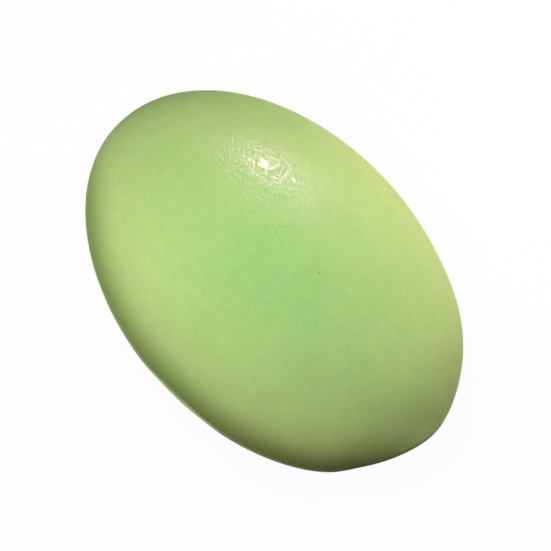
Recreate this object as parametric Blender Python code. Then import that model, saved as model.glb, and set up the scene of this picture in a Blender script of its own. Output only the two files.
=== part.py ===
"""An oval shaving soap puck: one solid piece of hard soap, pressed in a two-part die.

The crown is domed, a fine parting ridge runs round the middle, and the belly rounds in to a
flat foot. The +X end has been set down hard, which left three shallow flats on it.
Metres, +X along the oval, +Z up, origin at the centre of the foot.
"""

import math

import bmesh
import bpy
from mathutils import Vector

# The oval, measured over the parting ridge
LENGTH = 0.0800
WIDTH = 0.0555

# The two die halves, measured from the parting plane
CROWN_HEIGHT = 0.0205
BELLY_DEPTH = 0.0190

# The foot, the flat oval that the puck rests on
FOOT_LENGTH = 0.0280
FOOT_WIDTH = 0.0194

# The parting ridge, where the two die halves meet
RIDGE_HEIGHT = 0.0009
RIDGE_CREST = 0.0003
RIDGE_PROUD = 0.0002

# The flats at the +X end: which way each one faces in plan and above level, in degrees,
# and how deep it is pressed in
CORNER_FLAT_BEARING = -30.0
CORNER_FLAT_RISE = 0.0
CORNER_FLAT_DEPTH = 0.0012
TIP_FLAT_BEARING = -16.0
TIP_FLAT_RISE = 0.0
TIP_FLAT_DEPTH = 0.0007
CROWN_FLAT_BEARING = -8.0
CROWN_FLAT_RISE = 32.0
CROWN_FLAT_DEPTH = 0.0016
FLAT_EDGE_SOFTNESS = 0.0005

# How finely the surface is stepped
STEPS_ROUND = 96
CROWN_STEPS = 18
BELLY_STEPS = 13

# Hard soap: pale green, waxy
SOAP_COLOR = (0.42, 0.64, 0.21, 1.0)
SOAP_ROUGHNESS = 0.42

# What follows from the sizes above
BODY_HALF_LENGTH = LENGTH / 2 - RIDGE_PROUD
BODY_HALF_WIDTH = WIDTH / 2 - RIDGE_PROUD
PARTING_PLANE = BELLY_DEPTH
TOP = PARTING_PLANE + CROWN_HEIGHT


def clear_scene():
    for old in list(bpy.data.objects):
        bpy.data.objects.remove(old, do_unlink=True)


def belly_sections():
    """(half length, half width, height) from the foot's edge up to the ridge.

    They follow a quarter ellipse, level where it leaves the foot and upright at the ridge.
    """
    end = math.acos(RIDGE_HEIGHT / 2 / BELLY_DEPTH)
    for step in range(BELLY_STEPS + 1):
        turn = end * step / BELLY_STEPS
        spread = math.sin(turn)
        yield (
            FOOT_LENGTH / 2 + (BODY_HALF_LENGTH - FOOT_LENGTH / 2) * spread,
            FOOT_WIDTH / 2 + (BODY_HALF_WIDTH - FOOT_WIDTH / 2) * spread,
            PARTING_PLANE - BELLY_DEPTH * math.cos(turn),
        )


def ridge_sections():
    """The two edges of the parting ridge's crest."""
    for side in (-1, 1):
        yield LENGTH / 2, WIDTH / 2, PARTING_PLANE + side * RIDGE_CREST / 2


def crown_sections():
    """(half length, half width, height) from the ridge up to just short of the top."""
    start = math.asin(RIDGE_HEIGHT / 2 / CROWN_HEIGHT)
    for step in range(CROWN_STEPS):
        turn = start + (math.pi / 2 - start) * step / CROWN_STEPS
        spread = math.cos(turn)
        yield (
            BODY_HALF_LENGTH * spread,
            BODY_HALF_WIDTH * spread,
            PARTING_PLANE + CROWN_HEIGHT * math.sin(turn),
        )


def add_oval(mesh, half_length, half_width, height):
    """A closed oval of vertices, anticlockwise from +X as seen from above."""
    oval = []
    for step in range(STEPS_ROUND):
        turn = math.tau * step / STEPS_ROUND
        place = (half_length * math.cos(turn), half_width * math.sin(turn), height)
        oval.append(mesh.verts.new(place))
    return oval


def loft(mesh, sections):
    """Skins the sections in order, and closes them with the foot below and the top above."""
    ovals = [add_oval(mesh, *section) for section in sections]
    mesh.faces.new(reversed(ovals[0]))
    for lower, upper in zip(ovals, ovals[1:]):
        for step in range(STEPS_ROUND):
            after = (step + 1) % STEPS_ROUND
            mesh.faces.new((lower[step], lower[after], upper[after], upper[step]))
    top = mesh.verts.new((0.0, 0.0, TOP))
    for step in range(STEPS_ROUND):
        mesh.faces.new((ovals[-1][step], ovals[-1][(step + 1) % STEPS_ROUND], top))


def press_flat(mesh, bearing, rise, depth):
    """Presses the puck in along one direction until it is flat there.

    What stands beyond a plane, depth inside the crown's furthest point that way, is moved
    back to it, and the plane's edge is rounded by FLAT_EDGE_SOFTNESS.
    """
    bearing, rise = math.radians(bearing), math.radians(rise)
    across = math.cos(rise)
    facing = Vector((across * math.cos(bearing), across * math.sin(bearing), math.sin(rise)))
    crown = Vector((LENGTH / 2, WIDTH / 2, CROWN_HEIGHT))
    plane = (crown * facing).length - depth
    middle = Vector((0.0, 0.0, PARTING_PLANE))
    for vertex in mesh.verts:
        beyond = (facing.dot(vertex.co - middle) - plane) / FLAT_EDGE_SOFTNESS
        push = max(beyond, 0.0) + math.log1p(math.exp(-abs(beyond)))
        vertex.co -= facing * push * FLAT_EDGE_SOFTNESS


def soap_material():
    material = bpy.data.materials.new("hard_soap")
    material.use_nodes = True
    shader = material.node_tree.nodes["Principled BSDF"]
    shader.inputs["Base Color"].default_value = SOAP_COLOR
    shader.inputs["Roughness"].default_value = SOAP_ROUGHNESS
    shader.inputs["Metallic"].default_value = 0.0
    return material


def make_soap_puck():
    mesh = bmesh.new()
    loft(mesh, [*belly_sections(), *ridge_sections(), *crown_sections()])
    press_flat(mesh, CORNER_FLAT_BEARING, CORNER_FLAT_RISE, CORNER_FLAT_DEPTH)
    press_flat(mesh, TIP_FLAT_BEARING, TIP_FLAT_RISE, TIP_FLAT_DEPTH)
    press_flat(mesh, CROWN_FLAT_BEARING, CROWN_FLAT_RISE, CROWN_FLAT_DEPTH)
    data = bpy.data.meshes.new("soap_puck")
    mesh.to_mesh(data)
    mesh.free()
    data.materials.append(soap_material())
    data.shade_smooth()
    data.set_sharp_from_angle(angle=math.radians(25))
    puck = bpy.data.objects.new("soap_puck", data)
    bpy.context.scene.collection.objects.link(puck)
    return puck


def main():
    clear_scene()
    make_soap_puck()


main()
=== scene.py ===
"""The looks of an oval shaving soap puck: a fine mesh of the pressed bar, its waxy green
soap, a white floor, soft studio light and a camera looking down on it. Metres, +Z up."""

import math

import bmesh
import bpy
from mathutils import Matrix, Vector, noise


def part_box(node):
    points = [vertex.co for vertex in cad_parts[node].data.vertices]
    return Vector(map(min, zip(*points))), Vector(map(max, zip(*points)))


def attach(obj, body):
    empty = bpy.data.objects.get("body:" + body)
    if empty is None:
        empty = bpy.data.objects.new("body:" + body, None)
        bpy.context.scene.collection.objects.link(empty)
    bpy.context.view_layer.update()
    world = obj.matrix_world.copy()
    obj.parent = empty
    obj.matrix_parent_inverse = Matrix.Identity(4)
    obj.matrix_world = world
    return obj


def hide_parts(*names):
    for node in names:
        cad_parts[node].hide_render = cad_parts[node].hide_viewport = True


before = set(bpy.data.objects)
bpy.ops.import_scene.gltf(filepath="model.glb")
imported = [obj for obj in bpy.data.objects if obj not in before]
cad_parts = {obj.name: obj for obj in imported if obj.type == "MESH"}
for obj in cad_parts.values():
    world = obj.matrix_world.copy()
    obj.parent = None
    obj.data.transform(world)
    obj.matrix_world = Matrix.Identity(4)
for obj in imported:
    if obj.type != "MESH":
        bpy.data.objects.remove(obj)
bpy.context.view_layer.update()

LOW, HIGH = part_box("soap_puck")
MILLIMETRE = 0.001

# The pressed bar, as the CAD solid has it
HALF_LENGTH = -LOW[0]
HALF_WIDTH = HIGH[1]
PARTING_PLANE = 0.0190
CROWN_HEIGHT = HIGH[2] - PARTING_PLANE
FOOT_HALF_LENGTH = 0.0140
FOOT_HALF_WIDTH = 0.0097
RIDGE_HEIGHT = 0.0009
RIDGE_CREST = 0.0003
RIDGE_PROUD = 0.0002

# The flats at the +X end: the bearing in plan and the rise above level of the way each one
# faces, in degrees, its depth, and how softly it runs out. The first only brushes the crown,
# and the others lean in towards the foot
FLATS = (
    (-12.0, 50.0, 0.0, 0.0003),
    (-28.4, -12.0, 0.00133, 0.0005),
    (-15.6, -12.0, 0.00157, 0.0005),
    (0.0, -12.0, 0.00074, 0.0005),
)

# Forms along a stretch of the rim, each with its middle and its reach to either side in
# degrees of the oval's own angle, and how far it stands out: the corner squeezed out beside
# the flats, the brow pushed up over them, which runs out at a height above the parting
# plane, and the wide part of the lip where the die's halves met. All of the lip is a little
# ragged
SWELL_STRETCH = (44.0, 26.0)
SWELL_PROUD = 0.0004
BROW_STRETCH = (-6.0, 22.0)
BROW_PROUD = 0.0020
BROW_HEIGHT = 0.0080
LIP_STRETCH = (-83.0, 17.0)
LIP_PROUD = 0.0005
LIP_RAGGED = 0.00008
LIP_WAVES = 9.0

# The mesh: cells along each edge of the cube that it is spread from, how closely its rows
# crowd towards the ridge, and the share of the underside's quarter turn that the foot takes
CELLS = 112
ROW_CROWDING = 0.4
FOOT_SHARE = 0.28

# The soap, from its greener core out to the rim: the core's middle, how far its axis leans
# towards -Y in degrees, the colours, and where each passes into the next, as shares of the
# oval
CORE_PLACE = (0.0006, -0.0052, 0.0390)
CORE_LEAN = 15.0
CORE_COLOR = (0.374, 0.63, 0.208, 1.0)
MIDDLE_COLOR = (0.436, 0.63, 0.218, 1.0)
EDGE_COLOR = (0.50, 0.63, 0.220, 1.0)
CORE_TO_MIDDLE = (0.05, 0.5)
MIDDLE_TO_EDGE = (0.35, 1.0)

# How uneven the colour is: the waves per metre and the detail of each noise, and how far it
# swings the colour up and down. Clouds and flecks make it lighter and darker, and blotches
# turn it ruddy, with less blue. The clouds also push the rings of colour in and out
CLOUDS = (110.0, 3.0)
CLOUD_SWING = 0.02
RING_SWING = 0.06
FLECKS = (700.0, 2.0)
FLECK_SWING = 0.024
BLOTCHES = (380.0, 1.0)
RUDDY_SWING = 0.035
BLUE_SWING = -0.021
NOISE_RANGE = (0.3, 0.7)

# A darker band along one long side near the parting plane, partly a darker skin and partly
# painted shade where that side turns from the lamps, mossy at its middle and olive towards +X:
# what each leaves of red, green and blue, and the share of the half length at which it is all
# olive. It starts and is full at these shares of the oval towards its bearing, and at these
# heights above and below the parting plane
MOSSY_SKIN_AND_SHADE = (0.56, 0.62, 0.48, 1.0)
OLIVE_SKIN_AND_SHADE = (0.62, 0.57, 0.34, 1.0)
OLIVE_SHARE = 0.7
DARK_BEARING = -85.0
DARK_SIDE = (0.1, 0.6)
DARK_HEIGHTS = (0.0105, 0.0025)

# Soft patches of painted light and shade: painted light on the flats at the +X end and on the
# +Y flank, and painted shade on the rim at the -X end, beside the flats and above them. The
# middle of each, how far from it the patch starts to fade and has gone, and what it makes of
# red, green and blue
UNPAINTED_TONE = (1.0, 1.0, 1.0, 1.0)
LIGHT_AND_SHADE_PATCHES = (
    ((0.0388, -0.0020, 0.0220), 0.0015, 0.0075, (1.30, 1.30, 1.30, 1.0)),
    ((-0.0040, 0.0235, 0.0300), 0.0030, 0.0180, (1.11, 1.065, 1.075, 1.0)),
    ((-0.0260, 0.0142, 0.0303), 0.0030, 0.0150, (0.92, 0.935, 0.92, 1.0)),
    ((0.0335, -0.0115, 0.0245), 0.0015, 0.0085, (0.86, 0.83, 0.80, 1.0)),
    ((0.0350, 0.0070, 0.0270), 0.0030, 0.0130, (0.87, 0.87, 0.87, 1.0)),
)

# Specks in the crown's skin: where each lies in plan, its radius, and its colour
DARK_SPECK = (0.13, 0.24, 0.08, 1.0)
PALE_SPECK = (0.49, 0.72, 0.32, 1.0)
SPECKS = (
    (0.0057, 0.0015, 0.00020, DARK_SPECK),
    (0.0015, -0.0066, 0.00016, PALE_SPECK),
    (0.0113, 0.0038, 0.00016, PALE_SPECK),
    (-0.0051, 0.0004, 0.00016, PALE_SPECK),
)

# The duller soap on the lip, and the scuffs on the foot: the heights above the foot at which
# they start and are full, how much they cover, and their noise
LIP_COLOR = (0.44, 0.55, 0.24, 1.0)
SCUFFED_COLOR = (0.56, 0.66, 0.33, 1.0)
SCUFF_HEIGHTS = (0.0008, 0.0001)
SCUFF_COVER = 0.4
SCUFFS = (450.0, 4.0)
SCUFF_RANGE = (0.35, 0.65)

# The grain of the skin, like fine orange peel: the waves per metre and the detail of its
# bumps and of the patches in which they stand out, how peaked the bumps are, what the patches
# multiply their depth by, and the depth seen in the gloss and in the soap under it
PEEL = (2200.0, 1.0)
PEEL_POWER = 3.0
PEEL_PATCHES = (900.0, 1.0)
PEEL_PATCH_RANGE = (0.25, 0.75)
PEEL_PATCH_DEPTHS = (0.2, 1.8)
GLOSS_DEPTH = 0.18 * MILLIMETRE
SKIN_DEPTH = 0.024 * MILLIMETRE

# The camera: degrees from straight down, its bearing in plan and its roll, its distance and
# lens, and how far its aim lies beside the bar's middle
VIEW_TILT = 15.0
VIEW_BEARING = -75.0
VIEW_ROLL = 46.97
VIEW_DISTANCE = 0.400
VIEW_LENS = 145.51
VIEW_RIGHT = 0.000281
VIEW_DOWN = -0.000863

# The lamps: bearing and elevation in degrees, distance, width and height in metres, watts,
# colour, and whether each one only shades the soap or only shows in its gloss
LAMPS = {
    "over": (180.0, 65.0, 0.80, 0.50, 0.50, 2.02, (0.68, 1.0, 0.86), "shading"),
    "near": (-105.0, 75.0, 0.16, 0.05, 0.05, 0.1290, (1.0, 0.91, 0.97), "shading"),
    "side": (78.0, 18.0, 0.20, 0.06, 0.06, 0.264, (1.0, 0.95, 0.91), "shading"),
    "low": (-120.0, 25.0, 0.16, 0.05, 0.05, 0.0750, (1.0, 0.98, 0.95), "shading"),
    "end": (10.0, 10.0, 0.20, 0.06, 0.06, 0.011, (1.0, 0.97, 0.93), "shading"),
    "key": (121.2, 36.3, 0.80, 0.22, 0.11, 22.6, (0.97, 0.58, 0.84), "gloss"),
}

# The floor bounces little light but shows white: its size and its gap to the foot, the part
# of it that is plain white, and how bright the rest is, to the soap and to the lens
FLOOR_SIZE = 3.0
FLOOR_GAP = 0.1 * MILLIMETRE
FLOOR_WHITENESS = 0.96
FLOOR_BOUNCE = 0.15
FLOOR_SEEN = 0.9


def cube_directions(cells):
    """Unit directions and quads of a cube's grid blown up to a sphere.

    The rows of the four side faces crowd towards the sphere's equator.
    """
    places, quads = {}, []

    def corner(*whole):
        if whole not in places:
            u, v, w = (2 * k / cells - 1 for k in whole)
            if abs(w) < 1:
                w *= ROW_CROWDING + (1 - ROW_CROWDING) * w * w
            spread = Vector([math.tan(c * math.pi / 4) for c in (u, v, w)])
            places[whole] = len(places), spread.normalized()
        return places[whole][0]

    for axis in range(3):
        for side in (0, cells):
            for i in range(cells):
                for j in range(cells):
                    quad = []
                    for di, dj in ((0, 0), (1, 0), (1, 1), (0, 1)):
                        whole = [i + di, j + dj]
                        whole.insert(axis, side)
                        quad.append(corner(*whole))
                    outward = (side > 0) == (axis != 1)
                    quads.append(quad if outward else quad[::-1])
    return [direction for _, direction in places.values()], quads


def hump(angle, middle, reach):
    """One at the middle, fading to nothing at the reach to either side, all in degrees."""
    gap = abs((angle - middle + 180.0) % 360.0 - 180.0)
    return math.cos(math.pi / 2 * gap / reach) ** 2 if gap < reach else 0.0


def ridge_share(height):
    """How much of its full width the parting lip has at a height above the parting plane."""
    flank = (RIDGE_HEIGHT - RIDGE_CREST) / 2
    return min(max((RIDGE_HEIGHT / 2 - abs(height)) / flank, 0.0), 1.0)


def pressed_point(direction):
    """The place on the pressed bar for a direction from its middle."""
    level = math.hypot(direction.x, direction.y)
    along, across = (direction.x / level, direction.y / level) if level else (1.0, 0.0)
    angle = math.degrees(math.atan2(across, along))
    swell = SWELL_PROUD * hump(angle, *SWELL_STRETCH)
    brow = BROW_PROUD * hump(angle, *BROW_STRETCH)
    lip = RIDGE_PROUD + (LIP_PROUD - RIDGE_PROUD) * hump(angle, *LIP_STRETCH)
    worn = LIP_RAGGED * (noise.noise(Vector((along, across, 0.0)) * LIP_WAVES) * 0.5 + 0.5)

    if direction.z >= 0:
        height = CROWN_HEIGHT * direction.z
        brow *= max(0.0, 1.0 - height / BROW_HEIGHT) ** 2
    else:
        turn = math.acos(min(1.0, -direction.z)) / (math.pi / 2)
        if turn <= FOOT_SHARE:
            share = turn / FOOT_SHARE
            return Vector((FOOT_HALF_LENGTH * share * along, FOOT_HALF_WIDTH * share * across, 0.0))
        turn = (turn - FOOT_SHARE) / (1 - FOOT_SHARE) * math.pi / 2
        height = -PARTING_PLANE * math.cos(turn)
    proud = swell - worn + brow - (lip - worn) * (1.0 - ridge_share(height))
    half_length, half_width = HALF_LENGTH + proud, HALF_WIDTH + proud
    if direction.z >= 0:
        half_length *= level
        half_width *= level
    else:
        half_length = FOOT_HALF_LENGTH + (half_length - FOOT_HALF_LENGTH) * math.sin(turn)
        half_width = FOOT_HALF_WIDTH + (half_width - FOOT_HALF_WIDTH) * math.sin(turn)
    return Vector((half_length * along, half_width * across, PARTING_PLANE + height))


def press_flats(point):
    """The place after the end was set down hard on each of the flats."""
    middle = Vector((0.0, 0.0, PARTING_PLANE))
    crown = Vector((HALF_LENGTH, HALF_WIDTH, CROWN_HEIGHT))
    for bearing, rise, depth, softness in FLATS:
        bearing, rise = math.radians(bearing), math.radians(rise)
        level = math.cos(rise)
        facing = Vector((level * math.cos(bearing), level * math.sin(bearing), math.sin(rise)))
        plane = (crown * facing).length - depth
        beyond = (facing.dot(point - middle) - plane) / softness
        push = max(beyond, 0.0) + math.log1p(math.exp(-abs(beyond)))
        point = point - facing * push * softness
    return point


def soap_mesh():
    """The whole bar as one closed mesh of quads."""
    directions, quads = cube_directions(CELLS)
    points = [press_flats(pressed_point(direction)) for direction in directions]
    mesh = bpy.data.meshes.new("soap")
    mesh.from_pydata(points, [], quads)
    mesh.shade_smooth()
    return mesh


class Nodes:
    """A short way to write a node tree."""

    def __init__(self, owner):
        owner.use_nodes = True
        self.tree = owner.node_tree
        self.tree.nodes.clear()

    def add(self, kind, inputs=(), output=0, **settings):
        """A new node's output, or the node itself where it has none. The inputs are a list
        in the sockets' order, or values by socket name or number."""
        node = self.tree.nodes.new(kind)
        for name, value in settings.items():
            setattr(node, name, value)
        pairs = inputs.items() if isinstance(inputs, dict) else enumerate(inputs)
        for name, value in pairs:
            if isinstance(value, bpy.types.NodeSocket):
                self.tree.links.new(value, node.inputs[name])
            else:
                node.inputs[name].default_value = value
        return node.outputs[output] if node.outputs else node

    def math(self, operation, *values):
        return self.add("ShaderNodeMath", values, operation=operation)

    def vector(self, operation, *values, output=0):
        return self.add("ShaderNodeVectorMath", values, output, operation=operation)

    def span(self, value, low, high, to_low=0.0, to_high=1.0, kind="SMOOTHSTEP"):
        """The value's place between low and high, as a place between two others."""
        return self.add(
            "ShaderNodeMapRange", [value, low, high, to_low, to_high], interpolation_type=kind
        )

    def noise(self, place, per_metre, detail):
        inputs = {"Vector": place, "Scale": per_metre, "Detail": detail}
        return self.add("ShaderNodeTexNoise", inputs)

    def swing(self, value, amount, middle=1.0):
        """A noise's value as one that swings by an amount to both sides of the middle."""
        return self.span(value, *NOISE_RANGE, middle - amount, middle + amount, "LINEAR")

    def blend(self, share, start, end):
        """The colour a share of the way from one to another."""
        return self.add("ShaderNodeMix", {0: share, 6: start, 7: end}, 2, data_type="RGBA")

    def bump(self, height, distance):
        return self.add("ShaderNodeBump", {"Height": height, "Distance": distance})


def ringed_color(nodes, place, clouds):
    """Greener at the core and yellower at the rim, in rings about an axis that leans."""
    leaning = nodes.add(
        "ShaderNodeVectorRotate",
        {"Vector": nodes.vector("SUBTRACT", place, CORE_PLACE), "Angle": -math.radians(CORE_LEAN)},
        rotation_type="X_AXIS",
    )
    shares = nodes.vector("MULTIPLY", leaning, (1 / HALF_LENGTH, 1 / HALF_WIDTH, 0.0))
    reach = nodes.vector("LENGTH", shares, output="Value")
    reach = nodes.math("ADD", reach, nodes.swing(clouds, RING_SWING, 0.0))
    color = nodes.blend(nodes.span(reach, *CORE_TO_MIDDLE), CORE_COLOR, MIDDLE_COLOR)
    return nodes.blend(nodes.span(reach, *MIDDLE_TO_EDGE), color, EDGE_COLOR)


def darker_skin_and_shade(nodes, place, height, color):
    """The colour with a darker band along one long side: partly darker skin, partly painted shade.
    """
    bearing = math.radians(DARK_BEARING)
    towards = (math.cos(bearing) / HALF_LENGTH, math.sin(bearing) / HALF_WIDTH, 0.0)
    sided = nodes.vector("DOT_PRODUCT", place, towards, output="Value")
    sided = nodes.span(sided, *DARK_SIDE)
    low = nodes.span(nodes.math("ABSOLUTE", height), *DARK_HEIGHTS)
    along = nodes.add("ShaderNodeSeparateXYZ", [place], "X")
    along = nodes.span(along, 0.0, OLIVE_SHARE * HALF_LENGTH)
    dark = nodes.vector("MULTIPLY", color, nodes.blend(along, MOSSY_SKIN_AND_SHADE, OLIVE_SKIN_AND_SHADE))
    return nodes.blend(nodes.math("MULTIPLY", sided, low), color, dark)


def uneven_color(nodes, place, clouds, color):
    """The colour with its clouds, flecks and blotches, and the soft patches of painted light and
    shade.
    """
    flecks = nodes.noise(place, *FLECKS)
    blotches = nodes.noise(place, *BLOTCHES)
    cloudy = nodes.swing(clouds, CLOUD_SWING)
    flecked = nodes.swing(flecks, FLECK_SWING)
    lighter = nodes.math("MULTIPLY", cloudy, flecked)
    color = nodes.vector("MULTIPLY", color, lighter)
    # Painted light and shade: each patch lightens or darkens the colour about its middle
    for middle, fading, gone, painted_tone in LIGHT_AND_SHADE_PATCHES:
        apart = nodes.vector("DISTANCE", place, middle, output="Value")
        skin = nodes.blend(nodes.span(apart, gone, fading), UNPAINTED_TONE, painted_tone)
        color = nodes.vector("MULTIPLY", color, skin)
    ruddy = nodes.swing(blotches, RUDDY_SWING)
    bluish = nodes.swing(blotches, BLUE_SWING)
    tint = nodes.add("ShaderNodeCombineXYZ", [ruddy, 1.0, bluish])
    return nodes.vector("MULTIPLY", color, tint)


def marked_color(nodes, place, height, color):
    """The colour with the dull lip, the specks in the crown and the scuffs on the foot."""
    lip = nodes.span(nodes.math("ABSOLUTE", height), RIDGE_HEIGHT / 2, RIDGE_CREST / 2)
    color = nodes.blend(lip, color, LIP_COLOR)
    for x, y, radius, speck in SPECKS:
        level = math.hypot(x / HALF_LENGTH, y / HALF_WIDTH)
        spot = (x, y, PARTING_PLANE + CROWN_HEIGHT * math.sqrt(1.0 - level**2))
        apart = nodes.vector("DISTANCE", place, spot, output="Value")
        color = nodes.blend(nodes.span(apart, radius, radius / 2), color, speck)
    start, full = (above_foot - PARTING_PLANE for above_foot in SCUFF_HEIGHTS)
    foot = nodes.span(height, start, full, 0.0, SCUFF_COVER)
    scuffs = nodes.span(nodes.noise(place, *SCUFFS), *SCUFF_RANGE)
    return nodes.blend(nodes.math("MULTIPLY", foot, scuffs), color, SCUFFED_COLOR)


def soap_material():
    """Waxy soap: soft and cloudy inside, under a thin gloss with a grain like orange peel."""
    material = bpy.data.materials.new("hard_soap")
    nodes = Nodes(material)
    place = nodes.add("ShaderNodeTexCoord", output="Object")
    height = nodes.add("ShaderNodeSeparateXYZ", [place], "Z")
    height = nodes.math("SUBTRACT", height, PARTING_PLANE)
    clouds = nodes.noise(place, *CLOUDS)

    color = ringed_color(nodes, place, clouds)
    color = darker_skin_and_shade(nodes, place, height, color)
    color = uneven_color(nodes, place, clouds, color)
    color = marked_color(nodes, place, height, color)

    depths = nodes.span(nodes.noise(place, *PEEL_PATCHES), *PEEL_PATCH_RANGE, *PEEL_PATCH_DEPTHS)
    peel = nodes.math("POWER", nodes.noise(place, *PEEL), PEEL_POWER)
    peel = nodes.math("MULTIPLY", peel, depths)
    shader = nodes.add(
        "ShaderNodeBsdfPrincipled",
        {
            "Base Color": color,
            "Roughness": 0.5,
            "Specular IOR Level": 0.01,
            "Coat Weight": 0.03,
            "Coat Roughness": 0.20,
            "Coat IOR": 2.5,
            "Coat Normal": nodes.bump(peel, GLOSS_DEPTH),
            "Normal": nodes.bump(peel, SKIN_DEPTH),
            "Subsurface Weight": 0.4,
            "Subsurface Radius": (1.0, 1.0, 0.5),
            "Subsurface Scale": 1.0 * MILLIMETRE,
        },
    )
    nodes.add("ShaderNodeOutputMaterial", [shader])
    return material


def dressed_puck():
    """The bar in its soap, in place of the CAD solid."""
    puck = bpy.data.objects.new("pressed_soap", soap_mesh())
    bpy.context.scene.collection.objects.link(puck)
    puck.data.materials.append(soap_material())
    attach(puck, "root")
    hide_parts("soap_puck")


def white_to_lens(nodes, dull, whiteness):
    """A shader that is dull for diffuse light, and mostly plain white to the lens,
    to reflections and through glass."""
    seen = 0.0
    for kind in ("Is Camera Ray", "Is Glossy Ray", "Is Transmission Ray"):
        seen = nodes.math("MAXIMUM", seen, nodes.add("ShaderNodeLightPath", output=kind))
    white = nodes.add("ShaderNodeEmission")
    return nodes.add("ShaderNodeMixShader", [nodes.math("MULTIPLY", seen, whiteness), dull, white])


def white_floor():
    """A floor just under the foot that shows white, with the soap's soft shadow on it."""
    mesh = bmesh.new()
    bmesh.ops.create_grid(mesh, x_segments=1, y_segments=1, size=FLOOR_SIZE / 2)
    data = bpy.data.meshes.new("floor")
    mesh.to_mesh(data)
    mesh.free()
    floor = bpy.data.objects.new("floor", data)
    floor.location.z = LOW[2] - FLOOR_GAP
    bpy.context.scene.collection.objects.link(floor)
    material = bpy.data.materials.new("white_floor")
    nodes = Nodes(material)
    lens = nodes.add("ShaderNodeLightPath", output="Is Camera Ray")
    bright = nodes.span(lens, 0.0, 1.0, FLOOR_BOUNCE, FLOOR_SEEN)
    dull = nodes.add("ShaderNodeBsdfDiffuse", [bright])
    nodes.add("ShaderNodeOutputMaterial", [white_to_lens(nodes, dull, FLOOR_WHITENESS)])
    data.materials.append(material)


def white_world():
    """A world that shows white and lights nothing."""
    world = bpy.data.worlds.new("studio")
    bpy.context.scene.world = world
    nodes = Nodes(world)
    unlit = nodes.add("ShaderNodeBackground", {"Strength": 0.0})
    nodes.add("ShaderNodeOutputWorld", [white_to_lens(nodes, unlit, 1.0)])


def studio_lamps():
    """The lamps, each facing the middle of the bar."""
    aim = Vector((0.0, 0.0, PARTING_PLANE))
    for name, (bearing, elevation, distance, width, height, watts, color, use) in LAMPS.items():
        bearing, elevation = math.radians(bearing), math.radians(elevation)
        level = math.cos(elevation)
        back = Vector((level * math.cos(bearing), level * math.sin(bearing), math.sin(elevation)))
        light = bpy.data.lights.new(name, "AREA")
        light.shape = "RECTANGLE"
        light.size = width
        light.size_y = height
        light.energy = watts
        light.color = color
        lamp = bpy.data.objects.new(name, light)
        lamp.location = aim + back * distance
        lamp.rotation_mode = "QUATERNION"
        lamp.rotation_quaternion = (-back).to_track_quat("-Z", "Y")
        lamp.visible_glossy = use == "gloss"
        lamp.visible_diffuse = use == "shading"
        bpy.context.scene.collection.objects.link(lamp)


def camera_above():
    """The camera, looking down on the crown."""
    tilt, bearing, roll = map(math.radians, (VIEW_TILT, VIEW_BEARING, VIEW_ROLL))
    back = Vector(
        (math.sin(tilt) * math.cos(bearing), math.sin(tilt) * math.sin(bearing), math.cos(tilt))
    )
    along = Vector((1.0, 0.0, 0.0))
    along = (along - back * along.dot(back)).normalized()
    across = back.cross(along)
    right = along * math.cos(roll) + across * math.sin(roll)
    up = across * math.cos(roll) - along * math.sin(roll)
    lens = bpy.data.cameras.new("camera")
    lens.lens = VIEW_LENS
    lens.clip_start, lens.clip_end = 0.01, 10.0
    camera = bpy.data.objects.new("camera", lens)
    aim = Vector((0.0, 0.0, PARTING_PLANE)) + right * VIEW_RIGHT - up * VIEW_DOWN
    turn = Matrix((right, up, back)).transposed().to_4x4()
    camera.matrix_world = Matrix.Translation(aim + back * VIEW_DISTANCE) @ turn
    bpy.context.scene.collection.objects.link(camera)
    bpy.context.scene.camera = camera


dressed_puck()
white_floor()
white_world()
studio_lamps()
camera_above()
bpy.context.scene.view_settings.view_transform = "Standard"
